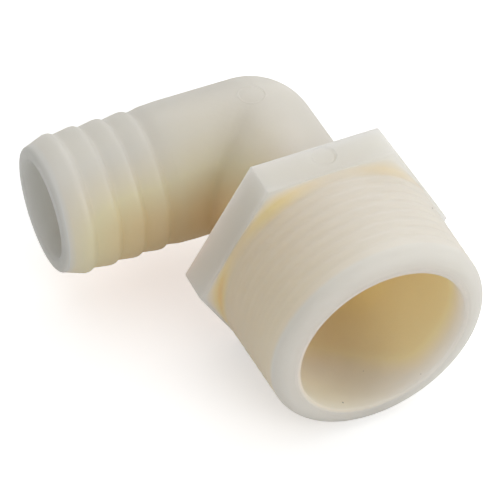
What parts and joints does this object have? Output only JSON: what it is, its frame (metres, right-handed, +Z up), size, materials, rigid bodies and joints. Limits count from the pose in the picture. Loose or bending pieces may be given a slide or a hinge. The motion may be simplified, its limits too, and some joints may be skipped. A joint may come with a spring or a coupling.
{
  "type": "right-angle hose barb pipe fitting",
  "caption": "Right-angle plastic hose fitting: tapered male pipe thread, wrench hexagon, round elbow with a tight inner corner, and a barbed hose tail.",
  "frame": {"origin": "on the floor, under the middle of the box, with the fitting lying on the hexagon's lower flat", "axes": "+Z up and square to the mould's parting plane, which holds both bores; the thread points to -Y and the hose tail to -X"},
  "size_m": [0.0665, 0.0676, 0.043],
  "materials": {
    "nylon": "natural milky nylon, satin, slightly translucent, warm amber where it is thick or shaded"
  },
  "bodies": {
    "root": {"hose_barb_1": "nylon", "hose_barb_2": "nylon", "hose_barb_3": "nylon", "hose_barb_4": "nylon", "hose_shank": "nylon", "elbow_corner": "nylon", "neck_leg": "nylon", "wrench_hexagon": "nylon", "threaded_spigot": "nylon"}
  },
  "joints": []
}
